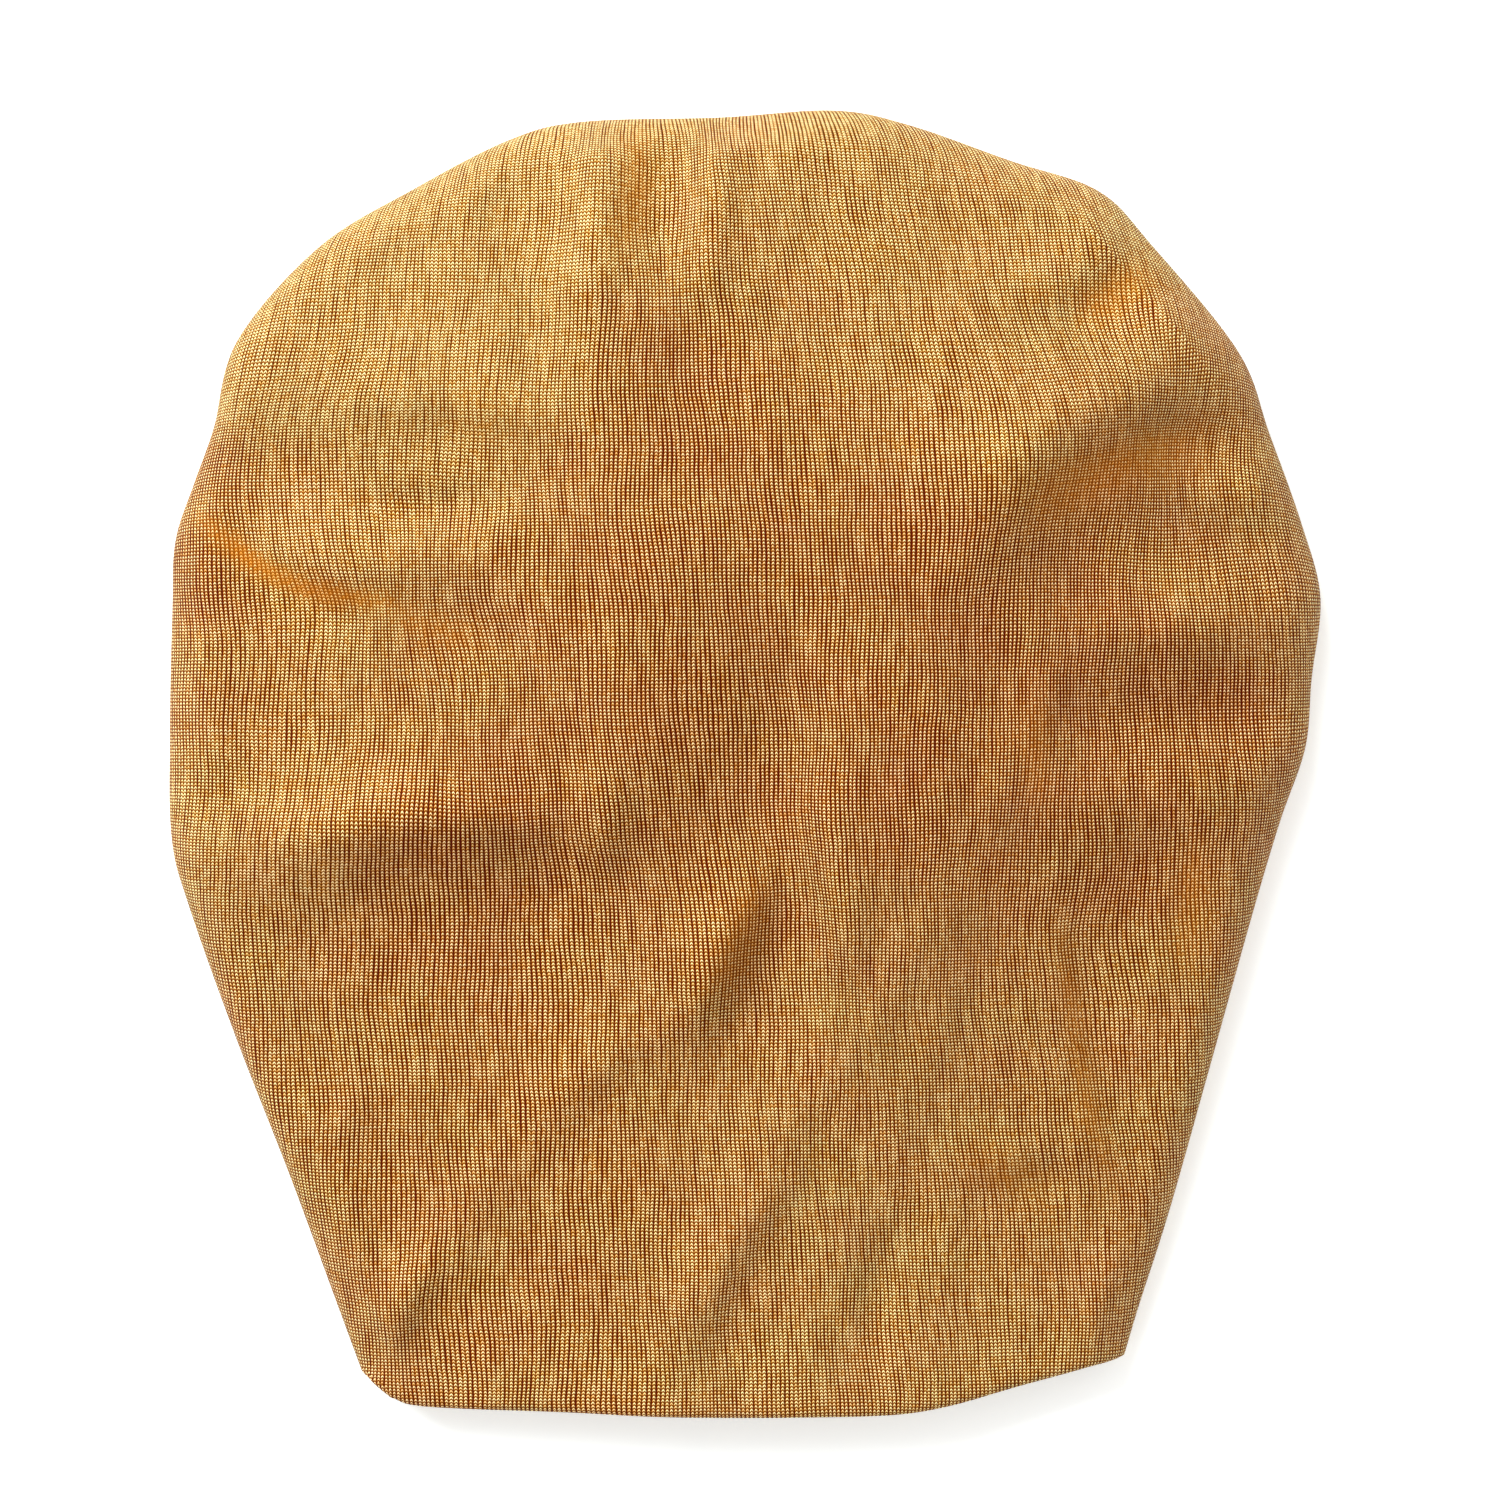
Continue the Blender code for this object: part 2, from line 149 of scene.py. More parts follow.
# Smaller creases and dents that lie over the main forms
FINE_FOLDS = (
    Fold("left_crease", (-89, 41), (-73, 27), (-55, 22), -1.7, 3, 4.5),
    Fold("left_high_line", (-68, 57), (-50.5, 56.5), (-26, 53), 1, 4, 3),
    Fold("left_line", (-63, 40), (-52, 40), (-37, 41), -1.8, 3, 4),
    Fold("left_rim_line", (-85, 44.5), (-76, 44), (-67, 43), 0.7, 3, 4),
    Fold("left_edge_high", (-87, 19), (-85, 35), (-83, 51), 1.1, 4, 4),
    Fold("left_edge_low", (-84, -6), (-85, 10), (-85, 26), 1.4, 4, 4),
    Fold("left_dimple", (-51, 19), (-41, 18), (-32, 19), -1, 5, 6),
    Fold("crown_strip", (-23.5, 66), (-23.5, 83), (-22.5, 104), 2.3, 5, 4.5),
    Fold("crown_strip_left", (-31, 51), (-32.5, 76), (-30, 100), -1.8, 5, 4),
    Fold("crown_strip_foot", (-11.5, 72), (-12.5, 87), (-12, 104), -2.2, 5, 5),
    Fold("crown_groove_line", (-15.5, 83), (-15.5, 73.5), (-14, 63), 1, 6, 3),
    Fold("crown_dent", (-17, 83), (-18, 93), (-18.5, 102), -0.4, 4, 4),
    Fold("crown_left_rib", (-43, 80), (-43.5, 90), (-41, 101), 1.2, 6, 4),
    Fold("crown_left_dent", (-38, 80), (-38.5, 90), (-36, 99), -1.2, 4, 4),
    Fold("crown_rib", (-8, 69), (-5.5, 83), (-4.5, 102), 2.6, 4, 3.5),
    Fold("crown_right_rib", (9, 83), (7, 94), (9, 104), 1.8, 6, 6),
    Fold("crown_middle_line", (4, 46), (4.5, 54), (3.5, 66), 1, 4, 3),
    Fold("crown_far_rib", (19, 67), (18.5, 77), (18, 86), 0.6, 5, 5),
    Fold("temple_fold", (34, 53), (41, 64), (49, 74), -0.8, 5, 6),
    Fold("temple_line", (45, 72), (53, 79.5), (60, 84.5), 1.2, 6, 4),
    Fold("shoulder_lip", (34, 33), (46, 52), (68, 65), 1.4, 6, 5),
    Fold("shoulder_crest", (38, 37), (52.5, 49.5), (74, 61.5), 1.3, 6, 4),
    Fold("shoulder_inner", (29.5, 22.5), (36.5, 32), (45.5, 41.5), 0.6, 5, 5),
    Fold("ledge_top_lip", (62, 42.5), (75, 43.5), (88, 44.5), 1, 4, 4),
    Fold("ledge_top_foot", (60, 49), (72, 52), (84, 53), -1.4, 4, 5),
    Fold("ledge_lip", (40, 20.5), (62, 20.5), (90, 21.5), 1, 6, 5),
    Fold("ledge_lip_foot", (44, 6), (66, 7), (97, 6.5), -1.1, 5, 6),
    Fold("belly_lip", (-73, -13), (-55, -7), (-41, -4), 1, 5, 6),
    Fold("belly_crest", (-90, -12), (-51.5, -9.5), (-18, -8), 1.6, 4, 6.5),
    Fold("belly_pinch_line", (-23, -18), (-21.5, -9), (-22.5, 3), 1.2, 4, 3),
    Fold("throat_line", (-10.5, -22.5), (-14.5, -3), (-14, 17.5), 0.6, 9, 4),
    Fold("wedge_crease", (-8, -43), (-4, -32), (3, -17), 0.9, 4, 3),
    Fold("wedge_edge", (-12.5, -49.5), (-4.5, -31), (6, -12), 1.1, 6, 3),
    Fold("wedge_hollow", (-4, -46.5), (2, -33), (8.5, -20), -0.6, 4, 3),
    Fold("middle_streak", (18.5, -40), (13, -14.5), (11, 4), 2.3, 4, 4),
    Fold("waist_line", (38, -16), (44, 3), (51, 19), 1.2, 4, 5),
    Fold("cheek_line", (17, -51), (23, -37), (32, -22), 1.4, 4, 4),
    Fold("cheek_hollow_line", (15, -53), (22.5, -40), (31, -26.5), -0.5, 5, 3),
    Fold("cheek_inner_line", (28.5, -54.5), (31.5, -41.5), (34.5, -26.5), 0.9, 4, 3),
    Fold("cheek_far_line", (66, -40), (66, -27), (65, -14.5), 0.8, 4, 3),
    Fold("right_crease", (59.5, -76), (51, -41.5), (48, -17.5), 1.6, 5, 2.5),
    Fold("right_low_dent", (35.5, -64), (42, -63), (48.5, -63), 1.2, 4, 4),
    Fold("right_hem_rib", (58.5, -76), (56.5, -86), (54.5, -97), 1.2, 4, 4),
    Fold("hem_middle_line", (-9, -94), (-1, -77), (9, -63), 1.8, 5, 3),
    Fold("hem_right_line", (19, -100), (21, -86), (24, -70), -1.2, 4, 4),
    Fold("left_diagonal", (-33, -57), (-22, -47.5), (-9, -41), 1, 5, 3),
    Fold("low_left_line", (-58, -94), (-63, -72), (-69, -50), 1.3, 5, 3.5),
    Fold("left_hem_crease", (-57, -94), (-54, -86), (-49, -77), 2.6, 4, 2.8),
    Fold("left_hem_dimple", (-66, -62), (-63, -56), (-61, -51), 1.2, 3, 2.8),
    Fold("left_hem_dent", (-68, -65), (-64.5, -58.5), (-61.5, -53), -0.7, 4, 3),
)

# Where the knit is pulled taut along a crease: the height is the share of its loops that are pulled flat,
# and also the share of painted amber shade laid into the crease
TAUT_AND_SHADED_CREASES = (
    Fold("left_crease", (-90, 41), (-73, 28.5), (-53, 24.5), 0.55, 1.4, 1.5),
    Fold("left_inner_crease", (-61, 27), (-50, 21), (-38, 18), 0.2, 2.5, 2.5),
    Fold("shoulder_fall", (41, 37), (56, 46), (77, 54), 0.32, 4, 4.8),
    Fold("wedge", (-7, -40), (-1, -28), (3, -16), 0.22, 2, 3.5),
    Fold("right_crease", (60, -73), (54, -52), (49, -20), 0.26, 1.6, 1.8),
    Fold("temple", (52, 69), (58, 74), (66, 80), 0.28, 3, 3),
    Fold("cheek_patch", (71, -10), (71, -22), (69, -36), 0.22, 2.8, 2.8),
    Fold("temple_dent", (34, -62), (42, -66), (50, -70), 0.22, 3.5, 3.5),
    Fold("crown_crease", (-20, 78), (-18, 90), (-17, 102), 0.24, 2.5, 3),
    Fold("waist_stripe", (47, 12), (46, 0), (47, -10), 0.2, 2.2, 2.2),
    Fold("left_dimple", (-50, 56), (-42, 54), (-34, 53), 0.12, 3, 3),
)

# How the knit lies over the upper wall. Its gaps column also paints shade: it stands higher where the cloth
# lies in shade, which darkens and reddens it there.
GRAINS = (
    Grain("middle", 0, 22, 34, -4, 1.12, 0.66),
    Grain("crown_groove", -12, 60, 12, -3, 1.1, 0.84),
    Grain("crown_left", -42, 72, 26, 2, 0.98, 0.1),
    Grain("temple_left", -74, 58, 12, 14, 1.02, 0.2),
    Grain("crown_right", 28, 80, 26, -9, 0.95, 0.24),
    Grain("shoulder_face", 53, 59, 11, -20, 0.84, 0.25),
    Grain("shoulder_fall", 56, 42, 10, 14, 0.95, 0.72),
    Grain("shoulder_end", 71, 58, 8, 9, 0.8, 0.55),
    Grain("ledge", 75, 29, 10, -10, 1.05, 0.48),
    Grain("right_waist", 50, 14, 14, 6, 0.9, 0.8),
    Grain("right_low", 62, -1, 12, -5, 1, 0.68),
    Grain("cheek", 46, -15, 12, 8, 0.94, 0.66),
    Grain("left_crease_over", -73, 36, 12, -13, 1, 0.35),
    Grain("left_inner", -47, 15, 10, -10, 0.92, 0.45),
    Grain("left_side", -72, 0, 18, 4, 1.04, 0.35),
    Grain("belly_foot", -45, -16, 14, -2, 1, 0.82),
    Grain("throat", -19, -14, 10, -11, 0.97, 0.68),
    Grain("lower_left", -40, -58, 30, -1.5, 1.06, 0.5),
    Grain("lower_middle", 10, -52, 22, -2.5, 0.92, 0.42),
    Grain("lower_right", 48, -48, 18, -7, 0.98, 0.46),
    Grain("ledge_foot", 70, 12, 7, -6, 1, 0.95),
    Grain("shoulder_edge", 34, 33, 8, 4, 0.98, 0.85),
    Grain("right_hollow", 31, -2, 10, -3, 0.98, 0.8),
    Grain("cheek_top", 58, -14, 8, 0, 0.98, 0.85),
    Grain("wedge", 0, -30, 7, -4, 1, 0.85),
    Grain("left_rim_high", -84, 46, 6, 12, 1, 0.85),
    Grain("left_rim", -85, 30, 6, 2, 1, 0.9),
    Grain("left_rim_low", -85, 8, 7, 2, 1, 0.7),
    Grain("hem_middle", 15, -88, 20, -3, 0.95, 0.34),
)


def placed(name: str, data: bpy.types.ID) -> bpy.types.Object:
    """Adds an object to the scene.

    Args:
        name: What it is called.
        data: Its mesh, light or camera.

    Returns:
        The object.
    """
    thing = bpy.data.objects.new(name, data)
    bpy.context.scene.collection.objects.link(thing)
    return thing


def unit(vectors: Array) -> Array:
    """The same directions with a length of one."""
    return vectors / np.maximum(np.linalg.norm(vectors, axis=-1, keepdims=True), TINY)


def ramp(value: Array, length: float) -> Array:
    """Smooth rise from 0 at zero to 1 at the given length."""
    share = np.clip(value / length, 0, 1)
    return share * share * (3 - 2 * share)


def smooth_path(knots: Array, steps: int, samples: int = 24) -> Array:
    """Evenly spaced points on a Catmull-Rom curve.

    Args:
        knots: The points that the curve goes through.
        steps: Into how many equal steps the curve is cut.
        samples: Sampling points between two knots.

    Returns:
        The steps + 1 points, one a row.
    """
    padded = np.vstack([2 * knots[0] - knots[1], knots, 2 * knots[-1] - knots[-2]])
    t = np.linspace(0, 1, samples, endpoint=False)[:, None]
    spans = [
        b + (c - a) * t / 2 + (a - 2.5 * b + 2 * c - d / 2) * t**2 + (1.5 * (b - c) + (d - a) / 2) * t**3
        for a, b, c, d in zip(padded, padded[1:], padded[2:], padded[3:])
    ]
    dense = np.vstack([*spans, knots[-1:]])
    run = np.append(0, np.cumsum(np.linalg.norm(np.diff(dense, axis=0), axis=1)))
    wanted = np.linspace(0, run[-1], steps + 1)
    return np.column_stack([np.interp(wanted, run, dense[:, k]) for k in (0, 1)])


@dataclass(frozen=True)
class Folds:
    """Folds that lie over each other."""

    rows: tuple[Fold, ...]
    taper: float = 0.3  # share of a fold's length over which each end dies out
    bumps_per_flank: int = 2
    fewest_bumps: int = 6

    def weights(self, points: Array, path: Array, fold: Fold) -> Array:
        """Sum of the soft bumps that a fold sets along its path.

        Args:
            points: Places, one a row.
            path: The fold's path.
            fold: The fold, whose flanks say how wide it is to each side.

        Returns:
            One weight for each point.
        """
        way = unit(np.gradient(path, axis=0))
        place = np.linspace(0, 1, len(path))
        fade = ramp(place, self.taper) * ramp(1 - place, self.taper)
        offsets = points[:, None] - path
        gaps = np.linalg.norm(offsets, axis=2)
        leftward = (way[:, 0] * offsets[..., 1] - way[:, 1] * offsets[..., 0]) / np.maximum(gaps, TINY)
        left, right = fold.left_flank / MM, fold.right_flank / MM
        flanks = (left + right + leftward * (left - right)) / 2
        return (fade * np.exp(-((gaps / flanks) ** 2))).sum(1)

    def heights(self, points: Array) -> Array:
        """What the folds add up to at each point.

        Args:
            points: Places, one a row.

        Returns:
            One height for each point, in the unit of the rows' heights.
        """
        total = np.zeros(len(points))
        for fold in self.rows:
            knots = np.array((fold.start, fold.bend, fold.end)) / MM
            length = np.linalg.norm(np.diff(knots, axis=0), axis=1).sum()
            narrow = min(fold.left_flank, fold.right_flank) / MM
            path = smooth_path(knots, int(length / narrow * self.bumps_per_flank) + self.fewest_bumps)
            full = self.weights(knots[1:2], path, fold)
            total += fold.height * self.weights(points, path, fold) / full
        return total


@dataclass(frozen=True)
class Form:
    """Outline and height of the upper wall's outer face."""

    side_edge: Array
    hem_line: Array
    folds: Folds
    edge_reach: float = 0.0060  # how far the rounding of the folded edge comes in from the outline
    edge_half_height: float = 0.0056  # height of the outline above the floor
    hem_half_height: float = 0.0042  # the same at the head opening
    edge_lift_run: float = 0.060
    belly_rise: float = 0.0095  # what the air inside adds to the height in the middle
    belly_reach: float = 0.052
    hem_belly_share: float = 0.12
    belly_run: float = 0.085
    fold_fade: float = 0.007  # folds die out this close to the outline
    outline_steps: int = 400
    rough_steps: int = 200  # the same where a rough distance will do
    hem_steps: int = 60

    def edge_distance(self, points: Array, edge: Array) -> Array:
        """Distance from the outline.

        Args:
            points: Places, one a row.
            edge: The outline.

        Returns:
            One distance for each point.
        """
        starts, runs = edge[:-1], np.diff(edge, axis=0)
        offsets = points[:, None] - starts
        share = np.clip((offsets * runs).sum(2) / (runs**2).sum(1), 0, 1)
        return np.linalg.norm(offsets - share[..., None] * runs, axis=2).min(1)

    def inward_distance(self, points: Array, edge: Array) -> Array:
        """Distance in from the outline that stays smooth where two sides are equally near.

        Args:
            points: Places, one a row.
            edge: The outline, in even steps.

        Returns:
            One distance for each point, from a field that falls off with the cube of the distance.
        """
        step = np.linalg.norm(np.diff(edge, axis=0), axis=1).mean()
        gaps = np.maximum(np.linalg.norm(points[:, None] - edge, axis=2), TINY)
        return (step / 2 * (gaps**-3.0).sum(1)) ** -0.5

    def inset(self, points: Array) -> Array:
        """Rough distance in from the outline."""
        return self.inward_distance(points, smooth_path(self.side_edge, self.rough_steps))

    def behind_hem(self, points: Array) -> Array:
        """Distance of each point from the hem line, towards the crown."""
        line = smooth_path(self.hem_line, self.hem_steps)
        return points[:, 1] - np.interp(points[:, 0], line[:, 0], line[:, 1])

    def outline_height(self, points: Array) -> Array:
        """Height of the outline above the floor, lower towards the head opening."""
        lift = ramp(self.behind_hem(points), self.edge_lift_run)
        return self.hem_half_height + (self.edge_half_height - self.hem_half_height) * lift

    def upper_height(self, points: Array) -> Array:
        """Height of the upper wall's outer face.

        Args:
            points: Places, one a row.

        Returns:
            One height for each point.
        """
        edge = smooth_path(self.side_edge, self.outline_steps)
        distance = self.edge_distance(points, edge)
        rim = self.outline_height(points)
        shoulder = rim * np.sqrt(1 - (1 - np.clip(distance / self.edge_reach, 0, 1)) ** 2)
        fullness = 1 - (1 - np.clip(self.inward_distance(points, edge) / self.belly_reach, 0, 1)) ** 2
        rise = ramp(self.behind_hem(points), self.belly_run)
        fill = self.hem_belly_share + (1 - self.hem_belly_share) * rise
        folds = self.folds.heights(points) / MM * ramp(distance, self.fold_fade)
        return rim + shoulder + self.belly_rise * fullness * fill + folds


@dataclass(frozen=True)
class Skin:
    """The outer face's quads, with what its faces need to know."""

    places: Array  # one vertex a row
    quads: Array  # four vertex numbers a row
    front: Array  # for each quad, whether it belongs to the upper wall or the rounded edge
    opening: Array  # vertex numbers round the head opening

    def vertex_normals(self) -> Array:
        """Unit normals of the vertices, from those of the quads round them."""
        a, b, c, d = (self.places[self.quads[:, k]] for k in range(4))
        normals = np.cross(c - a, d - b)  # each as long as twice its quad's area
        sums = np.zeros_like(self.places)
        for corner in self.quads.T:
            for axis in range(3):
                sums[:, axis] += np.bincount(corner, normals[:, axis], len(self.places))
        return unit(sums)


def strip(first: Array, second: Array) -> Array:
    """Quads between two rows of vertex numbers of the same length."""
    return np.column_stack([first[:-1], first[1:], second[1:], second[:-1]])


def sheet_quads(grid: Array) -> Array:
    """Quads of a grid of vertex numbers."""
    return np.vstack([strip(low, high) for low, high in zip(grid, grid[1:])])


def patch(left: Array, crown: Array, right: Array, hem: Array) -> Array:
    """A grid of points between four lines.

    Args:
        left: The left side's points, from the hem to the crown.
        crown: The crown's points, from left to right.
        right: The right side's points, from the hem to the crown.
        hem: The hem's points, from left to right.

    Returns:
        Rows from hem to crown, each from left to right.
    """
    u = np.linspace(0, 1, len(hem))[None, :, None]
    v = np.linspace(0, 1, len(left))[:, None, None]
    sides = (1 - u) * left[:, None] + u * right[:, None]
    ends = (1 - v) * hem[None] + v * crown[None]
    corners = (1 - v) * ((1 - u) * hem[0] + u * hem[-1]) + v * ((1 - u) * crown[0] + u * crown[-1])
    return sides + ends - corners


@dataclass(frozen=True)
class Bag:
    """The cap's cloth: an outer face, an inner face and the turned hem that joins them."""

    form: Form
    wall: float = 0.0015
    hem_wall: float = 0.0023
    hem_depth: float = 0.008
    under_hem_setback: float = 0.0020
    under_crease: float = 0.0005  # how far slack lifts the under wall off the floor
    under_crease_length: float = 0.045
    under_rim: float = 0.010  # how far in from the outline the creases start
    under_run: float = 0.020  # over what length they rise to their full height
    under_waves: tuple = ((0.9, 1.3, 0.7, 0.0), (1.4, 1.1, 0.6, 2.0))  # pitch, sway, its pitch and its start
    across: int = 128
    along: int = 146
    rows_over: int = 8
    rows_under: int = 6
    nose_rows: int = 4
    corner_ease: float = 0.05  # share of the side edge over which its rounding closes at each hem corner

    def inner_line(self, edge: Array) -> Array:
        """Where the rounding of the edge ends.

        Args:
            edge: The outline.

        Returns:
            The outline, moved in, with its ends on the hem line.
        """
        way = np.gradient(edge, axis=0)
        line = edge + self.form.edge_reach * unit(np.column_stack([way[:, 1], -way[:, 0]]))
        place = np.linspace(0, 1, len(edge))
        for end, share in ((0, ramp(place, self.corner_ease)), (-1, ramp(1 - place, self.corner_ease))):
            corner = self.form.hem_line[end]
            line = line * share[:, None] + (corner + (edge - edge[end])) * (1 - share)[:, None]
        return line

    def sides(self, line: Array) -> tuple[Array, Array, Array]:
        """The left, crown and right stretches of a line that runs along the whole side edge."""
        turn = self.along + self.across
        return line[: self.along + 1], line[self.along : turn + 1], line[turn:][::-1]

    def rounding(self, edge: Array, inner: Array) -> list[Array]:
        """Carries the cloth round the folded edge.

        Args:
            edge: The outline.
            inner: Where the rounding ends.

        Returns:
            Rings of points, from the upper to the under wall.
        """
        rim = self.form.outline_height(edge)
        rings = []
        for k in range(1, self.rows_over + 1):
            ring = edge + (inner - edge) * (1 - math.sin(k / self.rows_over * math.pi / 2))
            rings.append(np.column_stack([ring, self.form.upper_height(ring)]))
        for k in range(1, self.rows_under + 1):
            angle = k / self.rows_under * math.pi / 2
            ring = edge + (inner - edge) * (1 - math.cos(angle))
            behind = self.form.behind_hem(ring)
            setback = self.under_hem_setback * ramp(self.hem_depth - behind, self.hem_depth)
            ring = ring + np.column_stack([np.zeros(len(ring)), setback * k / self.rows_under])
            rings.append(np.column_stack([ring, rim * (1 - math.sin(angle))]))
        return rings

    def under_height(self, points: Array) -> Array:
        """How far soft creases lift the under wall off the floor inside its rim.

        Args:
            points: Places, one a row.

        Returns:
            One height for each point.
        """
        reach = ramp(self.form.inset(points) - self.under_rim, self.under_run)
        x, y = (points / self.under_crease_length * 2 * math.pi).T
        waves = sum(
            np.sin(along * pitch + sway * np.sin(aside * sway_pitch + start))
            for (along, aside), (pitch, sway, sway_pitch, start) in zip(((x, y), (y, x)), self.under_waves)
        )
        hem = ramp(self.form.behind_hem(points), self.hem_depth * 2)
        return self.under_crease * np.maximum(waves, 0) * reach * hem

    def outer(self) -> Skin:
        """The outer face, open at the hem."""
        edge = smooth_path(self.form.side_edge, 2 * self.along + self.across)
        inner = self.inner_line(edge)
        hem = smooth_path(self.form.hem_line, self.across)
        flat = patch(*self.sides(inner), hem).reshape(-1, 2)
        rings = self.rounding(edge, inner)
        floor_hem = rings[-1][[0, -1], :2]
        under_hem = np.vstack([floor_hem[:1], hem[1:-1] + (0, self.under_hem_setback), floor_hem[1:]])
        under = patch(*self.sides(rings[-1][:, :2]), under_hem)[:-1, 1:-1].reshape(-1, 2)

        grid = np.arange(len(flat)).reshape(self.along + 1, self.across + 1)
        band = np.concatenate([grid[:, 0], grid[-1, 1:-1], grid[::-1, -1]])
        ring_numbers = len(flat) + np.arange(len(rings) * len(band)).reshape(len(rings), -1)
        last = ring_numbers[-1]
        first_under = len(flat) + ring_numbers.size
        under_grid = np.empty_like(grid)
        under_grid[:, 0], under_grid[-1], under_grid[:, -1] = self.sides(last)
        under_grid[:-1, 1:-1] = first_under + np.arange(len(under)).reshape(self.along, -1)

        front = np.vstack([sheet_quads(grid), sheet_quads(np.vstack([band, ring_numbers]))])
        back = sheet_quads(under_grid)[:, ::-1]
        opening = [grid[0], ring_numbers[:, -1], under_grid[0, 1:-1][::-1], ring_numbers[::-1, 0]]
        places = [
            np.column_stack([flat, self.form.upper_height(flat)]),
            *rings,
            np.column_stack([under, self.under_height(under)]),
        ]
        is_front = np.arange(len(front) + len(back)) < len(front)
        return Skin(np.vstack(places), np.vstack([front, back]), is_front, np.concatenate(opening))

    def walls(self, outer: Skin) -> Array:
        """Thickness of the cloth at each vertex of the outer face."""
        turned_in = 1 - ramp(self.form.behind_hem(outer.places[:, :2]), self.hem_depth)
        return self.wall + (self.hem_wall - self.wall) * turned_in

    def nose(self, outer: Skin, inner: Array) -> list[Array]:
        """Rounds the hem.

        Args:
            outer: The outer face.
            inner: The inner face's vertices, one for each of the outer face's.

        Returns:
            Rows of points from the outer face's opening to the inner one's.
        """
        here, there = outer.places[outer.opening], inner[outer.opening]
        middle, half = (here + there) / 2, (here - there) / 2
        rows = []
        for k in range(1, self.nose_rows + 1):
            angle = math.pi * k / (self.nose_rows + 1)
            row = middle + half * math.cos(angle)
            row[:, 1] -= np.linalg.norm(half, axis=1) * math.sin(angle)
            rows.append(row)
        return rows


@dataclass(frozen=True)
class KnitLay:
    """Where wales and courses lie on the cloth, in metres of knit across and along."""

    grains: tuple[Grain, ...]
    least_turn: float = 0.05  # keeps the directions finite where the cloth faces straight down
    least_pull: float = 0.03  # weight of plain straight knit, beside the grains' own
    # open gaps, with the painted shade they carry, where no grain reaches
    plain_gaps_and_shade: float = 0.5
    strictness: float = 12.0  # how much more the lean of a line counts than the room between lines
    rounds: int = 900
    close_enough: float = 1e-7

    def grain_at(self, points: Array) -> tuple[Array, Array, Array]:
        """How the knit lies at each place, blended from the grains near it.

        Args:
            points: Places, one a row.

        Returns:
            Its lean in radians, its spread and its open gaps, which also carry painted shade.
        """
        plain = self.least_pull * np.array([0.0, 1.0, self.plain_gaps_and_shade])
        sums = np.tile(plain[:, None], len(points))
        total = np.full(len(points), self.least_pull)
        for grain in self.grains:
            gap = np.hypot(points[:, 0] * MM - grain.x, points[:, 1] * MM - grain.y) / grain.reach
            pull = np.exp(-(gap**2))
            sums += pull * np.array([[math.radians(grain.lean)], [grain.spread], [grain.gaps]])
            total += pull
        return tuple(sums / total)

    def directions(self, places: Array, normals: Array) -> tuple[Array, Array]:
        """Which way across and which way along the knit runs on the cloth at each vertex.

        Args:
            places: The vertices.
            normals: Their unit normals.

        Returns:
            Steps of knit across and along for each metre in X, Y and Z.
        """
        x, y, z = normals.T
        turn = 1 / np.maximum(1 + z, self.least_turn)
        right = np.column_stack([1 - x * x * turn, -x * y * turn, -x])
        up = np.column_stack([-x * y * turn, 1 - y * y * turn, -y])
        lean, spread, _ = self.grain_at(places[:, :2])
        across = right * np.cos(lean)[:, None] - up * np.sin(lean)[:, None]
        return across / spread[:, None], up

    def settle(self, start: Array, ends: Array, wanted: Array, weight: Array) -> Array:
        """Finds the values at the vertices whose differences along the edges come closest to those wanted.

        Args:
            start: A first guess at each vertex.
            ends: The two vertex numbers of each edge.
            wanted: The difference wanted along each edge.
            weight: How much each edge counts.

        Returns:
            The settled value at each vertex.
        """
        count = len(start)

        def spread_out(flow: Array) -> Array:
            """What flows along the edges, summed up at each vertex."""
            return np.bincount(ends[:, 1], flow, count) - np.bincount(ends[:, 0], flow, count)

        def pull(values: Array) -> Array:
            """How the differences along the edges pull at each vertex."""
            return spread_out(weight * (values[ends[:, 1]] - values[ends[:, 0]]))

        values = start.copy()
        rest = spread_out(weight * wanted) - pull(values)
        step = rest.copy()
        size = rest @ rest
        goal = size * self.close_enough**2
        for _ in range(self.rounds):
            moved = pull(step)
            length = size / (step @ moved)
            values += length * step
            rest -= length * moved
            was, size = size, rest @ rest
            if size < goal:
                break
            step = rest + size / was * step
        return values

    def settle_on(self, skin: Skin) -> Array:
        """Knit coordinates of the vertices of the upper wall and the rounded edge.

        Args:
            skin: The outer face.

        Returns:
            Metres of knit across and along, one row for each vertex. The under wall's are plain X and Y.
        """
        normals = skin.vertex_normals()
        quads = skin.quads[skin.front]
        ends = np.vstack([quads[:, [k, (k + 1) % 4]] for k in range(4)])
        ends = np.unique(np.sort(ends, axis=1), axis=0)
        runs = skin.places[ends[:, 1]] - skin.places[ends[:, 0]]
        lay = skin.places[:, :2].copy()
        used = np.unique(quads)
        renumber = np.zeros(len(skin.places), int)
        renumber[used] = np.arange(len(used))
        for k, way in enumerate(self.directions(skin.places, normals)):
            between = (way[ends[:, 0]] + way[ends[:, 1]]) / 2
            wanted = (runs * between).sum(1)
            aside = (unit(runs) * unit(between)).sum(1)
            weight = 1 + self.strictness * (1 - aside**2)
            lay[used, k] = self.settle(lay[used, k], renumber[ends], wanted, weight)
        return lay


